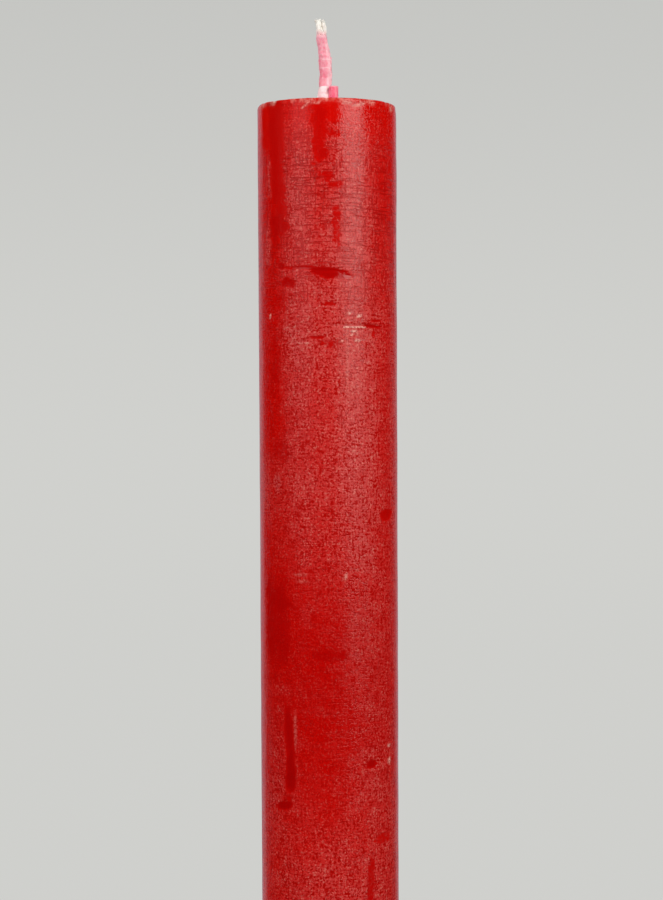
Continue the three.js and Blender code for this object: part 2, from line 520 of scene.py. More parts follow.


# ---- Marks on the skin ----
# Angle in degrees from the front, then the distance below the rim and the half sizes along the surface
# in millimetres. Tilt is in degrees, positive going down to the right. depth is how far it goes in,
# or out if negative, in millimetres. The last four are how much pit, flake, bare wax or extra frost
# it shows; the pit's darker red is painted shade in the gouges, cracks and notch. A bar is a rounded
# rectangle, and a lens is an oval with pointed ends.
Mark = namedtuple(
    "Mark", "shape angle below half_width half_height tilt depth pit flake bare frost",
    defaults=(0, 0, 0, 0, 0, 0),
)
MARKS = [
    # pale worn bits along the rim
    Mark("lens", -16, 0.9, 1.3, 0.26, -38, 0.0, flake=0.45),
    Mark("lens", -11, 0.6, 1.6, 0.22, 10, 0.03, flake=0.40),
    Mark("lens", 17, 0.8, 1.7, 0.20, 12, 0.03, flake=0.38),
    Mark("lens", 27, 1.0, 1.4, 0.22, -20, 0.04, flake=0.42),
    Mark("oval", 38, 0.5, 1.2, 0.30, 0, 0.05, flake=0.45),
    Mark("oval", 66, 0.9, 0.9, 0.60, 0, 0.05, flake=0.40),
    Mark("oval", -52, 0.3, 2.6, 0.30, 0, 0.04, pit=0.9),
    # the long lens-shaped gouge, its tail and the two spots beside it, darkened with painted shade
    Mark("lens", -7, 30.2, 5.4, 0.50, 5, 0.07, pit=1.0, bare=1),
    Mark("lens", 4, 31.1, 4.2, 1.05, 7, 0.13, pit=1.0, bare=1),
    Mark("oval", -41, 29.6, 0.75, 0.75, 0, 0.08, pit=0.9, bare=1),
    Mark("lens", -32, 29.9, 2.0, 0.22, 2, 0.05, pit=0.6, bare=1),
    Mark("oval", -34, 32.5, 1.4, 0.95, 0, 0.10, pit=0.9, bare=1),
    # the crack with its bright lip, and the flakes round it; painted shade darkens the crack
    Mark("lens", 40, 40.3, 2.5, 0.30, 2, 0.28, pit=1.0, bare=1),
    Mark("lens", 16, 40.1, 4.2, 0.16, 0, 0.16, pit=0.7),
    Mark("lens", 22, 40.5, 2.3, 0.14, 0, -0.05, flake=1.0),
    Mark("lens", 43, 39.3, 1.6, 0.22, -5, 0.18, pit=0.9, bare=1),
    Mark("oval", 26, 38.5, 0.60, 0.26, -30, -0.08, flake=1.0),
    Mark("oval", 17, 38.0, 0.30, 0.24, 0, -0.06, flake=0.7),
    Mark("oval", 21, 41.2, 0.70, 0.16, 4, -0.06, flake=0.8),
    Mark("oval", 20, 41.9, 0.30, 0.26, 40, -0.06, flake=0.8),
    Mark("oval", 25, 42.9, 0.50, 0.20, 5, -0.08, flake=1.0),
    Mark("oval", 11, 43.0, 0.30, 0.16, 0, -0.05, flake=0.7),
    Mark("oval", 42, 41.6, 0.95, 0.7, 0, 0.10, pit=0.5, bare=0.6),
    Mark("oval", -55, 38.3, 0.24, 0.24, 0, -0.08, flake=0.9),
    # scratches and bare blots of the upper middle
    Mark("lens", -19, 43.3, 1.5, 0.12, -4, -0.03, flake=0.25),
    Mark("lens", -27, 43.0, 2.2, 0.14, -4, 0.05, pit=0.6),
    Mark("lens", -8, 42.3, 2.4, 0.24, 0, 0.08, pit=0.8, bare=0.6),
    Mark("oval", 2, 43.6, 1.5, 1.4, 0, 0.05, pit=0.6, bare=0.42),
    Mark("lens", 1, 36.4, 1.4, 0.45, 3, 0.10, pit=0.7, bare=0.7),
    Mark("lens", -20, 59.6, 2.0, 0.15, 5, 0.06, pit=0.5),
    Mark("lens", -30, 59.0, 1.6, 0.14, 5, 0.04, pit=0.5),
    Mark("bar", 15.6, 46.0, 0.12, 6.0, 0, 0.0, flake=0.14),
    Mark("bar", -48, 93, 3.8, 9, 0, 0.0, pit=0.75, bare=0.45),
    # the bare left side and spots of the top end
    # the darker red of this bare bar is painted shade, darker than the rim-lit left edge
    Mark("bar", -46, 11.0, 2.1, 13.0, -2, 0.0, pit=0.5, bare=0.9),
    Mark("oval", -44, 22.5, 2.6, 2.4, 0, 0.04, pit=0.75, bare=0.9),
    Mark("oval", -47, 17.0, 1.6, 3.6, 0, 0.03, pit=0.55, bare=0.7),
    Mark("oval", -43, 36.0, 1.4, 2.0, 0, 0.03, pit=0.5, bare=0.4),
    Mark("oval", -48, 47.0, 1.6, 5.0, 0, 0.03, pit=0.5, bare=0.35),
    Mark("oval", -43, 62.5, 2.4, 2.6, 0, 0.03, pit=0.6, bare=0.36),
    Mark("bar", -57, 4.0, 3.0, 5.0, 0, 0.0, bare=1.0),
    Mark("bar", -54, 13.5, 0.9, 3.6, 0, 0.0, frost=0.7),
    Mark("bar", -58, 25.0, 1.0, 4.0, 0, 0.0, frost=0.5),
    Mark("bar", -6.5, 6.0, 1.3, 6.5, 0, 0.03, pit=0.4, bare=0.8),
    Mark("oval", -3, 9.6, 1.5, 1.5, 20, 0.05, pit=0.6, bare=0.9),
    Mark("bar", 0, 1.8, 2.9, 2.4, 0, 0.0, bare=0.9),
    Mark("lens", 8, 4.2, 3.2, 0.16, 0, 0.05, pit=0.6),
    Mark("oval", 5, 6.2, 1.3, 0.6, 20, 0.08, pit=0.5, bare=0.8),
    Mark("oval", 1, 13.8, 1.2, 1.0, 40, 0.06, pit=0.5, bare=0.7),
    Mark("oval", 6, 15.2, 1.3, 0.8, -10, 0.06, pit=0.5, bare=0.7),
    Mark("bar", 7, 22.5, 0.9, 4.2, 0, 0.05, pit=0.4, bare=0.6),
    # lower marks
    Mark("oval", -47, 68.4, 1.2, 2.2, 0, 0.06, pit=0.3, frost=0.5),
    Mark("oval", 56, 74.0, 1.6, 0.85, 0, 0.12, pit=0.7, bare=1),
    Mark("oval", 13, 84.9, 0.30, 0.75, 0, -0.08, flake=0.5),
    Mark("oval", 23, 83.5, 0.4, 0.2, 0, -0.05, flake=0.3),
    Mark("oval", -44, 90.3, 3.8, 1.8, 0, 0.05, pit=0.85, bare=0.6),
    Mark("oval", 3, 99.2, 4.6, 1.5, 0, 0.03, pit=0.8, bare=0.4),
    Mark("lens", -26, 84.4, 2.6, 0.13, 4, -0.02, flake=0.14),
    Mark("lens", -24, 85.6, 2.4, 0.13, 6, -0.02, flake=0.14),
    Mark("oval", -19, 92.3, 1.2, 2.7, 0, 0.0, frost=0.2),
    Mark("lens", 46, 101.6, 1.7, 0.2, 3, 0.10, pit=0.7),
    # the upright gouge that turns at its foot, darkened with painted shade
    Mark("bar", -36.0, 112.5, 0.85, 5.2, -3, 0.07, pit=0.9, bare=1),
    Mark("bar", -34.4, 119.2, 1.15, 5.4, 1, 0.11, pit=1.0, bare=1),
    Mark("oval", -34, 122.7, 1.05, 1.9, 0, 0.10, pit=0.8, bare=1),
    Mark("bar", -40.5, 126.0, 1.85, 0.75, -6, 0.12, pit=1.0, bare=1),
    Mark("bar", -29.8, 113.5, 0.14, 5.0, 1, -0.03, flake=0.15),
    # the square notch, darkened with painted shade, and the flakes and scratch near the right edge
    Mark("bar", 37.0, 118.6, 1.30, 0.75, 0, 0.16, pit=1.0, bare=1),
    Mark("oval", 58, 115.6, 0.3, 0.34, 0, -0.12, flake=1.0),
    Mark("oval", 58.5, 118.3, 0.4, 0.6, 0, -0.14, flake=1.0),
    Mark("bar", 57.5, 120.9, 0.22, 1.6, 0, 0.16, pit=0.9),
    # the bare streak and its branch low down
    Mark("bar", 35.5, 140.0, 0.9, 6.5, 3, 0.05, pit=0.5, bare=0.5),
    Mark("oval", 48, 132.2, 2.8, 0.9, -8, 0.04, pit=0.3, bare=0.5),
]

# Soft patches of more or less frost: angle in degrees, then the distance below the rim and the half
# sizes in millimetres, then the amount.
Cloud = namedtuple("Cloud", "angle below half_width half_height amount")
CLOUDS = [
    Cloud(18, 18, 5.0, 14, 0.66),
    Cloud(-22, 17, 3.2, 12, 0.50),
    Cloud(5, 34, 12, 12, 0.40),
    Cloud(12, 52, 11, 16, 0.40),
    Cloud(-28, 45, 5.0, 12, 0.30),
    Cloud(25, 53.5, 1.5, 2.2, 0.35),
    Cloud(-48, 54, 3.0, 32, -0.22),
    Cloud(52, 60, 1.9, 26, -0.26),
    Cloud(45, 62, 6.0, 24, 0.25),
    Cloud(0, 72, 10, 12, 0.30),
    Cloud(-50, 66, 3.5, 10, 0.20),
    Cloud(42, 100, 6.5, 26, 0.36),
    Cloud(-52, 122, 4.0, 12, 0.25),
    Cloud(5, 143, 14, 13, 0.33),
    Cloud(5, 152, 18, 7, 0.30),
    Cloud(60, 130, 6.0, 16, 0.30),
]


def wrap(degrees):
    return (degrees + 180) % 360 - 180


MASK_OUT, MASK_FULL = 1.25, 0.55  # where a mark's mask starts and is full, in its half sizes
RAGGED_WIDE_OVAL, RAGGED = 0.6, 0.3
OFF_THE_LENS = 9  # beyond every mask


def mark_mask(mark, angle, below, ragged):
    """How much each place belongs to a mark, from 0 to 1."""
    across = np.radians(wrap(angle - mark.angle)) * BODY_RADIUS
    down = below - mark.below
    tilt = math.radians(mark.tilt)
    s = across * math.cos(tilt) + down * math.sin(tilt)
    t = down * math.cos(tilt) - across * math.sin(tilt)
    s, t = s / mark.half_width, t / mark.half_height
    if mark.shape == "lens":
        room = np.clip(1 - s * s, 1e-3, None)
        away = np.where(np.abs(s) < 1, np.abs(t) / room, OFF_THE_LENS)
    elif mark.shape == "bar":
        away = (s**4 + t**4) ** 0.25
    else:
        away = np.sqrt(s * s + t * t)
    uneven = RAGGED_WIDE_OVAL if mark.shape == "oval" and mark.half_width > 1 else RAGGED
    return smooth(away + ragged * uneven, MASK_OUT, MASK_FULL)


# Layers of smooth noise on the wall: amount, cells round the candle and up it, seed and octaves.
Layer = namedtuple("Layer", "amount cells_round cells_up seed octaves", defaults=(3,))
EDGE_WOBBLE = Layer(1.0, 60, 190, 11, octaves=2)
FROST_DRIFT = Layer(0.20, 5, 14, 21)
UNSEEN_FROST = Layer(0.45, 4, 8, 31)
FROST_SPOTS = Layer(0.10, 36, 40, 41)
FROST_LEVEL_STREAKS = Layer(0.10, 16, 220, 51, octaves=2)
RELIEF_LAYERS = (  # in millimetres
    Layer(0.045, 6, 16, 61),
    Layer(0.030, 60, 60, 71),
    Layer(0.012, 90, 24, 81, octaves=1),
)
STROKE_DRIFT = Layer(0.5, 12, 24, 111)
FROST_EVERYWHERE = 0.07
UNSEEN_FROST_EVERYWHERE = 0.22
MARKED_HALF_ANGLE, UNSEEN_ANGLE = 62, 95  # where the listed clouds give way to chance ones
MARKED_LENGTH, UNSEEN_LENGTH = 146, 160


def layered(layer, turn, height):
    amount, *cells_and_seed = layer
    return amount * wander_octaves(turn, height, *cells_and_seed)


def frost_field(angle, below, turn, height):
    frost = FROST_EVERYWHERE + layered(FROST_DRIFT, turn, height)
    for cloud in CLOUDS:
        s = np.radians(wrap(angle - cloud.angle)) * BODY_RADIUS / cloud.half_width
        t = (below - cloud.below) / cloud.half_height
        frost = frost + cloud.amount * np.exp(-(s * s + t * t))
    # round the back and low down, where no cloud is listed, the same kind go on by chance
    behind = smooth(np.abs(wrap(angle)), MARKED_HALF_ANGLE, UNSEEN_ANGLE)
    unseen = np.clip(behind + smooth(below, MARKED_LENGTH, UNSEEN_LENGTH), 0, 1)
    frost = frost + unseen * (UNSEEN_FROST_EVERYWHERE + layered(UNSEEN_FROST, turn, height))
    frost = frost + layered(FROST_SPOTS, turn, height)
    frost = frost + layered(FROST_LEVEL_STREAKS, turn, height)
    return frost * smooth(below, -1.0, 9.0)  # it thins out towards the rim


def pit_field(angle, below):
    """How much darker the red is made: less so near the rim and low down, more so in front at 102."""
    pit = 0.24 * smooth(below, 3, 10) * (1 - 0.7 * smooth(below, 118, 134))
    return pit + 0.26 * np.exp(-(((below - 102) / 15) ** 2 + (wrap(angle) / 45) ** 2))


def stroke_field(below, turn, height):
    """How strongly strokes cut the frost: most from 13 to 30 below the rim."""
    cut = 0.25 + 0.75 * smooth(below, 4, 13) * smooth(below, 44, 30)
    return cut * (0.75 + layered(STROKE_DRIFT, turn, height))


def skin_fields(angle, below):
    """The relief in millimetres and the masks for every place on the wall."""
    turn, height = (angle % 360) / 360, np.clip(1 - below / TOP, 0, 1)
    ragged = layered(EDGE_WOBBLE, turn, height)
    frost = frost_field(angle, below, turn, height)
    relief = sum(layered(layer, turn, height) for layer in RELIEF_LAYERS)
    pit = pit_field(angle, below)
    cut = stroke_field(below, turn, height)
    flake, bare = np.zeros_like(below), np.zeros_like(below)
    for mark in MARKS:
        mask = mark_mask(mark, angle, below, ragged)
        relief = relief - mark.depth * mask
        pit = np.maximum(pit, mark.pit * mask)
        flake = np.maximum(flake, mark.flake * mask)
        bare = np.maximum(bare, mark.bare * mask)
        frost = frost + mark.frost * mask
    frost, cut = np.clip(frost, 0, 1), cut * (1 - bare)
    return relief, dict(frost=frost, pit=pit, flake=flake, bare=bare, cut=cut)


# ---- The red skin ----
COLUMNS = 184
SEEN_STEP, HIDDEN_STEP = 0.40, 0.75  # row spacing of the stretch with the listed marks and of the rest
SEEN_STRETCH = 148.0
THIN_MARKS = (30.5, 40.4, 43.0, 125.8)  # below the rim, where the rows are closer still
EXTRA_ROWS, THIN_HALF_HEIGHT = 2.2, 0.9  # rows per millimetre, and how far round each of them


def wall_heights():
    """Row heights up the wall, closer together on the upper stretch and closest at thin marks."""
    z = np.linspace(FOOT_ROUNDING, TOP - RIM_ROUNDING, 6000)
    below = TOP - z
    density = np.where(below < SEEN_STRETCH, 1 / SEEN_STEP, 1 / HIDDEN_STEP)
    for spot in THIN_MARKS:
        density = density + EXTRA_ROWS * hump(below, spot, THIN_HALF_HEIGHT)
    count = np.concatenate([[0], np.cumsum((density[1:] + density[:-1]) / 2 * np.diff(z))])
    rows = int(round(count[-1]))
    return np.interp(np.linspace(0, count[-1], rows + 1), count, z)


def wall_radius(z):
    below = TOP - z
    return BODY_RADIUS + FLARE * np.clip((FLARE_FROM - below) / (FLARE_FROM - FLARE_TO), 0, 1)


WICK_SIDE = 3  # within this radius the top face is under the root and keeps most of its level
WICK_SIDE_RELIEF = 0.3


def skin_rows():
    """The skin's outline as rows of (radius, height, outward r, outward z, share of the relief)."""
    rows = []
    for r in np.linspace(CORE_RADIUS, BODY_RADIUS - FOOT_ROUNDING, 4):
        rows.append((r, 0.0, 0, -1, 0.0))
    foot = BODY_RADIUS - FOOT_ROUNDING
    for a in np.linspace(0, math.pi / 2, 4)[1:-1]:
        out, up = math.sin(a), 1 - math.cos(a)
        rows.append((foot + FOOT_ROUNDING * out, FOOT_ROUNDING * up, out, -math.cos(a), 0.5))
    for z in wall_heights():
        rows.append((wall_radius(z), z, 1, 0, 1.0))
    rim = FLARED_RADIUS - RIM_ROUNDING
    for a in np.linspace(0, math.pi / 2, 7)[1:]:
        out, up = math.cos(a), math.sin(a)
        rows.append((rim + RIM_ROUNDING * out, TOP - RIM_ROUNDING * (1 - up), out, up, 1.0))
    for r in np.linspace(rim, WICK_HOLE, 27)[1:]:
        rows.append((r, TOP, 0, 1, 1.0 if r > WICK_SIDE else WICK_SIDE_RELIEF))
    for z in np.linspace(TOP, CORE_TOP, 4)[1:]:
        rows.append((WICK_HOLE, z, -1, 0, 0.0))
    for r in np.linspace(WICK_HOLE, CORE_RADIUS, 6)[1:]:
        rows.append((r, CORE_TOP, 0, -1, 0.0))
    for z in np.linspace(CORE_TOP, 0, 10)[1:-1]:
        rows.append((CORE_RADIUS, z, -1, 0, 0.0))
    return np.array(rows)


class Grids:
    """Rows of points that go round, gathered into one mesh with values stored on its vertices."""

    def __init__(self, *field_names):
        self.points, self.faces, self.count = [], [], 0
        self.fields = {name: [] for name in field_names}

    def add(self, points, fields, closed_section=False):
        """Adds a tube with closed ends, or a ring whose last row joins its first."""
        rows, columns = points.shape[:2]
        last = rows if closed_section else rows - 1
        i, j = np.meshgrid(np.arange(last), np.arange(columns), indexing="ij")
        k, n = (i + 1) % rows, (j + 1) % columns
        quads = np.stack([i * columns + j, i * columns + n, k * columns + n, k * columns + j], -1)
        self.faces += (quads.reshape(-1, 4) + self.count).tolist()
        if not closed_section:
            self.faces.append([self.count + c for c in range(columns)][::-1])
            self.faces.append([self.count + (rows - 1) * columns + c for c in range(columns)])
        self.points.append(points.reshape(-1, 3))
        for name, values in fields.items():
            self.fields[name].append(np.broadcast_to(values, (rows, columns)).ravel())
        self.count += rows * columns

    def piece(self, name, material):
        mesh = bpy.data.meshes.new(name)
        mesh.from_pydata((np.concatenate(self.points) * MM).tolist(), [], self.faces)
        for key, values in self.fields.items():
            data = mesh.attributes.new(key, "FLOAT", "POINT").data
            data.foreach_set("value", np.concatenate(values).astype(np.float32))
        mesh.materials.append(material)
        mesh.shade_smooth()
        mesh.update()
        piece = bpy.data.objects.new(name, mesh)
        bpy.context.scene.collection.objects.link(piece)
        return piece


def settle(piece, node):
    """Puts a finished piece in its CAD node's place."""
    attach(piece, "root")
    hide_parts(node)


DISH_DEPTH, DISH_FROM, DISH_TO = 0.06, 0.3, 2.5  # the top face's dips, and how far in they start
FACE_SCALE = 13  # spreads the noise over the top face
CHIP_DEPTH = 0.11
RIM_REACH = 0.9  # how far chips, lip and wear go from the edge, each way
LIP_HEIGHT, HIGH_LIP_HEIGHT = 0.14, 0.18
HIGH_LIP_ANGLE, HIGH_LIP_HALF_ANGLE = -72, 24
LEVEL_FACE = 0.8  # faces that point up more than this are the top face


def add_skin():
    rows = skin_rows()
    angle = np.arange(COLUMNS) * (360 / COLUMNS) - 180
    radius, height, out_r, out_z, share = (rows[:, n, None] + 0 * angle[None, :] for n in range(5))
    angle = angle[None, :] + 0 * radius
    turn = (angle % 360) / 360
    on_top = (out_z > 0.99) & (height > TOP - 0.01)
    inward = FLARED_RADIUS - radius
    relief, fields = skin_fields(angle, np.where(on_top, -inward, TOP - height))
    # the top face: shallow dips and scuffs
    dish = DISH_DEPTH * wander_octaves(turn, radius / FACE_SCALE, 7, 5, seed=91) - DISH_DEPTH
    relief = np.where(on_top, dish * smooth(inward, DISH_FROM, DISH_TO), relief)
    face_frost = 0.35 + 0.5 * wander_octaves(turn, radius / FACE_SCALE, 9, 7, seed=95)
    fields["frost"] = np.where(on_top, np.clip(face_frost, 0, 1), fields["frost"])
    # the rim: chips, a raised lip that is higher on the left, and pale wear
    near_rim = hump(np.where(on_top, inward, TOP - height), 0, RIM_REACH)
    chips = smooth(wander_octaves(turn, 0 * turn + 0.3, 44, 4, seed=97, octaves=2), 0.25, 0.6)
    relief = relief - CHIP_DEPTH * near_rim * chips
    high_lip = HIGH_LIP_HEIGHT * hump(wrap(angle - HIGH_LIP_ANGLE), 0, HIGH_LIP_HALF_ANGLE)
    lip = near_rim * (LIP_HEIGHT + high_lip)
    scuffs = smooth(wander(turn, 0 * turn, 90, 1, seed=99), -0.4, 0.6)
    worn = near_rim**4 * (0.45 * chips + 0.35 * scuffs)
    fields["flake"] = np.maximum(fields["flake"], worn)
    push = relief * share
    r, z = radius + push * out_r, height + (push + lip) * out_z
    a = np.radians(angle)
    skin = Grids(*fields)
    skin.add(np.stack([r * np.sin(a), -r * np.cos(a), z], -1), fields, closed_section=True)
    glossy = red_wax("red_wax", smoothest=0.11, roughest=0.36, shine=0.5)
    dull = red_wax("dull_red_wax", smoothest=0.50, roughest=0.65, shine=0.12)
    piece = skin.piece("red_skin", glossy)
    piece.data.materials.append(dull)
    for face in piece.data.polygons:
        if face.normal.z > LEVEL_FACE:
            face.material_index = 1
    settle(piece, "overdip_shell")


def dress_core():
    """The CAD core keeps its shape and gets a mottled pale wax."""
    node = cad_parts["wax_core"]
    pale = mottled_wax("pale_wax", CORE_DARK, CORE_LIGHT, size=3.0, roughness=0.62)
    node.data.materials.clear()
    node.data.materials.append(pale)


# ---- The wick ----
# Heights here are millimetres above the candle's top face.
WICK_TOP = TIP - TOP
BRAID_CYCLES = 18
BRAID_HALF_WIDTH, BRAID_HALF_DEPTH = 0.66, 0.42
STRAND_RADIUS = 0.29
STRAND_SIDES = 15
WICK_FOOT = 0.4  # above the candle's foot
LEAN_START, LEAN_RATE = 4.0, 0.0081
WICK_SHIFT = 0.09  # how far the free wick stands to the left of the middle
GATHER, FRAY_FROM = 0.14, 14.0  # from here up the strands are closer together by this share
BURIED_STEP, FREE_STEP, FREE_FROM = 1.2, 0.11, -1.0  # ring spacing inside the wax and out of it

PLIES = 3
PLY_TWIST = 3.9  # radians per millimetre
PLY_RELIEF, PLY_SINK = 0.13, 0.06  # shares of the strand's radius
SWELL, SWELL_FROM, SWELL_TO = 0.60, 12.8, 14.4  # the bare yarn is thicker than the waxed
CUT_BELOW_TIP, CUT_STAGGER = 0.3, 0.25  # strand a ends highest, then c, then b
CUT_TAPER, CUT_TAPER_LENGTH = 0.35, 0.7
WAX_CREEP_TO, WAX_CREEP_FROM = 14.5, 13.3
FIBRES, FIBRE_POINTS, FIBRE_SIDES = 44, 7, 5
FIBRE_CURL = 1.2  # radians round the strand


def around(count):
    return np.arange(count) * TAU / count


def lean(h):
    return -LEAN_RATE * np.clip(h - LEAN_START, 0, None) ** 2 - WICK_SHIFT


def strand_middle(h, phase):
    """The middle of one strand of the plait, drawn together where the cut end frays."""
    turn = TAU * BRAID_CYCLES * (h + TOP - WICK_FOOT) / (TIP - WICK_FOOT) + phase
    spread = 1 - GATHER * smooth(h, FRAY_FROM - 1.5, FRAY_FROM)
    x = BRAID_HALF_WIDTH * spread * np.sin(turn) + lean(h)
    y = BRAID_HALF_DEPTH * spread * np.sin(2 * turn)
    return np.stack([x, y, h + TOP], -1)


def tube(middles, radii, sides):
    """Level rings of points round a rising line, with radii as rows of one or as many as the sides."""
    a = around(sides)
    ring = np.stack([np.cos(a), np.sin(a), 0 * a], -1)
    return middles[:, None, :] + ring[None] * radii[..., None]


def add_fibre(strand, phase, rng):
    """One loose fibre that leaves its strand towards the cut end."""
    start = rng.uniform(12.9, 15.2)
    end = min(WICK_TOP - rng.uniform(0.06, 0.5), start + rng.uniform(1.0, 2.6))
    t = np.linspace(0, 1, FIBRE_POINTS)
    h = start + (end - start) * t
    angle, stray = rng.uniform(0, TAU), rng.uniform(0.02, 0.20)
    out = STRAND_RADIUS * rng.uniform(0.6, 1.35) + stray * t**2
    middle = strand_middle(h, phase)
    middle[:, 0] += out * np.cos(angle + FIBRE_CURL * t)
    middle[:, 1] += out * np.sin(angle + FIBRE_CURL * t)
    thickness = rng.uniform(0.045, 0.085) * (1 - 0.6 * t)
    tone = 0.8 * smooth(h, WAX_CREEP_TO - 0.1, WAX_CREEP_FROM - 0.1)
    strand.add(tube(middle, thickness[:, None], FIBRE_SIDES), {"tone": tone[:, None]})


def add_strand(letter, phase, material, rng):
    """One strand: three plies of yarn twisted together, with loose fibres at its cut end."""
    cut = WICK_TOP - CUT_BELOW_TIP - CUT_STAGGER * "acb".index(letter)
    buried = np.arange(WICK_FOOT - TOP, FREE_FROM, BURIED_STEP)
    h = np.concatenate([buried, np.arange(FREE_FROM, cut, FREE_STEP)])[:, None]
    a = around(STRAND_SIDES)[None, :]
    plies = PLY_RELIEF * np.abs(np.cos(PLIES / 2 * (a - PLY_TWIST * h))) - PLY_SINK
    swell = SWELL * smooth(h, SWELL_FROM, SWELL_TO)
    radii = STRAND_RADIUS * (1 + swell + plies * smooth(h, FREE_FROM, 0))
    radii = radii * (1 - CUT_TAPER * smooth(h, cut - CUT_TAPER_LENGTH, cut))
    waxed = 0.85 * smooth(h, WAX_CREEP_TO, WAX_CREEP_FROM)
    strand = Grids("tone")
    strand.add(tube(strand_middle(h[:, 0], phase), radii, STRAND_SIDES), {"tone": waxed})
    for _ in range(FIBRES):
        add_fibre(strand, phase, rng)
    settle(strand.piece("wick_yarn_" + letter, material), "wick_strand_" + letter)


def add_strands():
    yarn = cotton()
    rng = np.random.default_rng(77)
    for n, letter in enumerate("abc"):
        add_strand(letter, n * TAU / 3, yarn, rng)


# The coat's left and right edges at some heights, as seen from the front.
COAT_HEIGHTS = (3.6, 4.8, 5.6, 6.3, 7.3, 8.2, 9.3, 9.55, 10.1, 11.0, 12.7, 13.6)
COAT_LEFT = (-1.22, -1.43, -1.30, -1.20, -1.30, -1.36, -1.43, -1.45, -1.48, -1.53, -1.75, -1.70)
COAT_RIGHT = (1.05, 1.02, 1.08, 1.12, 1.13, 1.16, 1.16, 0.84, 0.72, 0.57, 0.33, 0.22)
COAT_FOOT, COAT_TOP = 3.55, coat_high.z / MM - TOP
COAT_HALF_DEPTH = 1.06
COAT_RINGS, COAT_SIDES = 130, 72
COAT_SCALE, COAT_WIDEST = 0.97, 1.12
COAT_RAGGEDNESS = 0.22
PLAIT_RELIEF = 0.15
STRAND_SPREAD = 0.55  # radians round the wick that one strand pushes out
RIDGES = ((8.8, 1, 0.55), (7.3, -1, 0.45))  # height, side, and how far it goes past the middle
RIDGE_HALF_HEIGHT, RIDGE_RELIEF = 0.10, 0.03
MOUTH_RINGS = ((0.86, 0.02), (0.60, 0.10), (0.25, 0.12))  # share of the width, and drop


def plait_relief(a, h):
    """How far the strands under the wax push it out, from about -1 to 1."""
    push = 0.0
    for n in range(3):
        middle = strand_middle(h, n * TAU / 3)
        x, y = middle[:, 0] - lean(h), middle[:, 1]
        apart = np.angle(np.exp(1j * (a - np.arctan2(y, x)[:, None])))
        push = push + (np.hypot(x, y) / 0.7)[:, None] * hump(apart, 0, STRAND_SPREAD)
    return push


def coat_ridges(a, h):
    """The two thin pale ridges that cross the front of the coat."""
    ridges = 0.0
    for height, side, past_middle in RIDGES:
        ridges = ridges + hump(h, height, RIDGE_HALF_HEIGHT) * (side * np.cos(a) > -past_middle)
    return ridges * (np.sin(a) < 0.2)


def add_coat():
    """The pink wax on the wick, thin enough to show the plait, with a ragged upper edge."""
    t = np.linspace(0, 1, COAT_RINGS)[:, None]
    a = around(COAT_SIDES)[None, :] + 0 * t
    ragged = COAT_RAGGEDNESS * wander(a / TAU, 0.5 + 0 * a, 11, 2, seed=301)
    h = COAT_FOOT + (COAT_TOP - 0.2 + ragged * t**3 - COAT_FOOT) * t
    left, right = (np.interp(h, COAT_HEIGHTS, edge) for edge in (COAT_LEFT, COAT_RIGHT))
    middle, half = (left + right) / 2 - WICK_SHIFT, (right - left) / 2
    relief = PLAIT_RELIEF * (plait_relief(a, h.mean(axis=1)) - 0.6)
    fibres = 0.05 * wander(a / TAU, h / 14, 26, 9, seed=302)
    fibres = fibres + 0.04 * wander(a / TAU, h / 14, 13, 40, seed=303)
    ridges = coat_ridges(a, h)
    scale = np.minimum(1 + relief + fibres + RIDGE_RELIEF * ridges, COAT_WIDEST) * COAT_SCALE
    across = np.cos(a)
    outside = np.stack(
        [middle + half * scale * across, COAT_HALF_DEPTH * scale * np.sin(a), h + TOP], -1
    )
    # the upper edge turns in over the strands, and closes round them
    inside = []
    for share, drop in MOUTH_RINGS:
        ring_x, ring_y = middle[-1] + share * half[-1] * across[-1], share * np.sin(a[-1])
        inside.append(np.stack([ring_x, ring_y, h[-1] + TOP - drop], -1))
    # paler up the right side, on the ridges, at the mouth and low on the right, and deeper above that;
    # the paler right side is painted light from the bright lamp there
    tone = 0.30 + 0.45 * smooth(across, 0.1, 0.7) * smooth(h, 12.9, 11.5)
    tone = tone + 0.55 * ridges + 0.5 * smooth(h, COAT_TOP - 1.1, COAT_TOP - 0.3)
    tone = tone - 0.22 * hump(h, 6.0, 1.0) * (across < 0.35)
    tone = tone + 0.7 * hump(h, 5.0, 0.6) * smooth(across, -0.3, 0.3)
    tone = np.concatenate([tone, np.tile(tone[-1:], (len(MOUTH_RINGS), 1))])
    coat = Grids("tone")
    coat.add(np.concatenate([outside, np.array(inside)]), {"tone": np.clip(tone, 0, 1)})
    pink = toned_wax("pink_wax", COAT_PINK, COAT_PALE, roughness=0.42, grain=1.2)
    settle(coat.piece("pink_coat", pink), "wick_wax_coat")


STUB_PLACE = ((stub_low + stub_high) / 2 / MM).xy
STUB_SIDE = math.atan2(STUB_PLACE.y, STUB_PLACE.x)
STUB_RADIUS = (stub_high.x - stub_low.x) / 2 / MM
STUB_HEIGHT = stub_high.z / MM - TOP
STUB_ROUNDING = 0.2
STUB_SIDES = 64
STUB_SHIFT = 0.04  # to the left of its CAD solid's middle
STUB_WIDTH_SHARE, STUB_DEPTH_SHARE = 0.94, 0.9

ROOT_HEIGHT = 4.25
ROOT_RINGS, ROOT_SIDES = 46, 72
ROOT_NECK, ROOT_FLARE, ROOT_BULGE = 1.05, 1.05, 0.25
ROOT_SHIFT = 0.06  # to the left
FLAT_BY_STUB, STUB_HALF_ANGLE = 0.05, 0.55


def lump(radius, h, a, seed, amount):
    return radius * (1 + amount * wander_octaves(a / TAU, h / 6, 7, 6, seed, octaves=2))


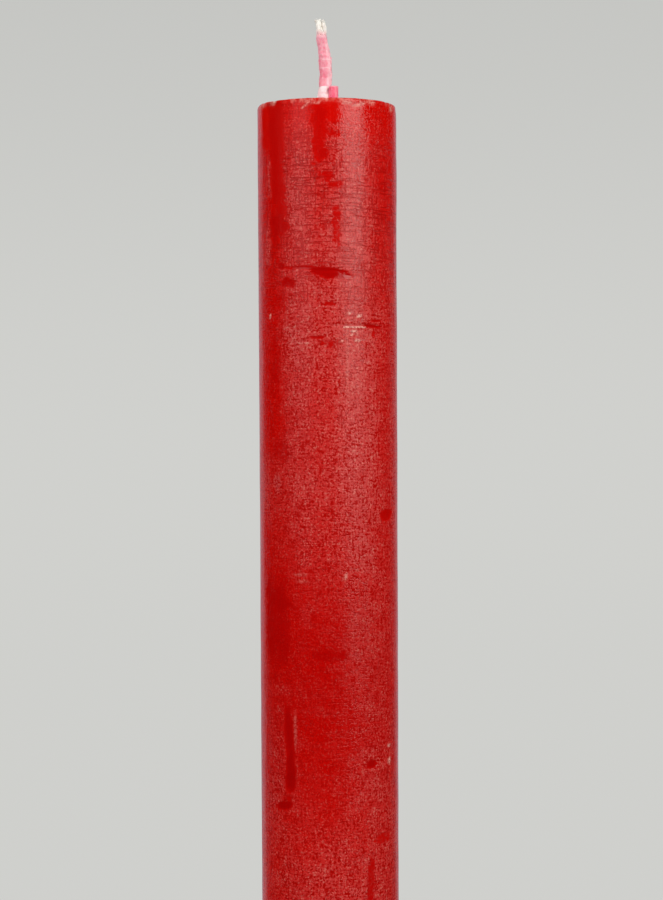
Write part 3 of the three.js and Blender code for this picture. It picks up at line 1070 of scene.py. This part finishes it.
def add_root():
    """The pale, lumpy wax round the foot of the wick, spread on to the top face."""
    t = np.linspace(0, 1, ROOT_RINGS)[:, None]
    a = around(ROOT_SIDES)[None, :] + 0 * t
    h = ROOT_HEIGHT * t + 0 * a
    radius = ROOT_NECK + ROOT_FLARE * (1 - t) + ROOT_BULGE * smooth(t, 0.72, 0.50)
    stub_side = hump(np.angle(np.exp(1j * (a - STUB_SIDE))), 0, STUB_HALF_ANGLE)
    radius = lump(radius, h, a, seed=404, amount=0.26) * (1 - FLAT_BY_STUB * stub_side)
    radius = radius * (1 - 0.35 * smooth(t, 0.88, 1.0))
    radius = np.where(t == 0, radius + 0.02, radius)
    points = np.stack([radius * np.cos(a) - ROOT_SHIFT, radius * np.sin(a), h + TOP], -1)
    tone = 0.80 + 0.55 * wander_octaves(a / TAU, h / 6, 9, 7, seed=402, octaves=2)
    root = Grids("tone")
    root.add(points, {"tone": np.clip(tone, 0, 1)})
    pale = toned_wax("root_wax", ROOT_PINK, ROOT_PALE, roughness=0.45)
    settle(root.piece("wick_root", pale), "wick_root_bead")


def stub_outline():
    """The stub's outline as rows of (radius, height), from its foot to the middle of its top."""
    rows = []
    for height in np.linspace(0, STUB_HEIGHT - STUB_ROUNDING, 26):
        rows.append((STUB_RADIUS, height))
    for b in np.linspace(0, math.pi / 2, 6)[1:]:
        inward, below = 1 - math.cos(b), 1 - math.sin(b)
        rows.append((STUB_RADIUS - STUB_ROUNDING * inward, STUB_HEIGHT - STUB_ROUNDING * below))
    for share in (0.6, 0.35, 0.1):
        rows.append((STUB_RADIUS * share, STUB_HEIGHT))
    return np.array(rows)


def add_stub():
    """The flat-topped peg of dyed wax beside the wick, slightly uneven and dented on top."""
    a = around(STUB_SIDES)
    r, h = (stub_outline()[:, n, None] + 0 * a[None, :] for n in range(2))
    a = a[None, :] + 0 * r
    r = lump(r, h, a, seed=501, amount=0.06)
    on_top = smooth(h, STUB_HEIGHT - 0.12, STUB_HEIGHT) * (r < STUB_RADIUS - 0.1)
    h = h - 0.05 * on_top * (1 + wander(a / TAU, r / 1.2, 5, 3, seed=502))
    x = STUB_PLACE.x - STUB_SHIFT + STUB_WIDTH_SHARE * r * np.cos(a)
    y = STUB_PLACE.y + STUB_DEPTH_SHARE * r * np.sin(a)
    # painted highlight: the stub is paler towards its top edge, where the light from above falls
    tone = 0.36 + 0.5 * smooth(h, STUB_HEIGHT - 0.35, STUB_HEIGHT - 0.1)
    tone = tone + 0.3 * wander(a / TAU, h / 5, 8, 6, seed=503)
    stub = Grids("tone")
    stub.add(np.stack([x, y, h + TOP], -1), {"tone": np.clip(tone, 0, 1)})
    dyed = toned_wax("stub_wax", STUB_PINK, STUB_PALE, roughness=0.35)
    settle(stub.piece("dyed_stub", dyed), "wax_stub")


# ---- The scene ----
add_camera()
for softbox in SOFTBOXES:
    add_softbox(softbox, reflected=True)
for fill in FILLS:
    add_softbox(fill, reflected=False)
add_room_light()
bpy.context.scene.view_settings.view_transform = "Standard"
add_bowl("bowl", -180, 180, bowl_paint())
add_bowl("far_wall", 180 - FAR_WALL_RIGHT, 180 + FAR_WALL_LEFT, far_wall_paint(), reflected_only=True)
add_skin()
dress_core()
add_strands()
add_coat()
add_root()
add_stub()
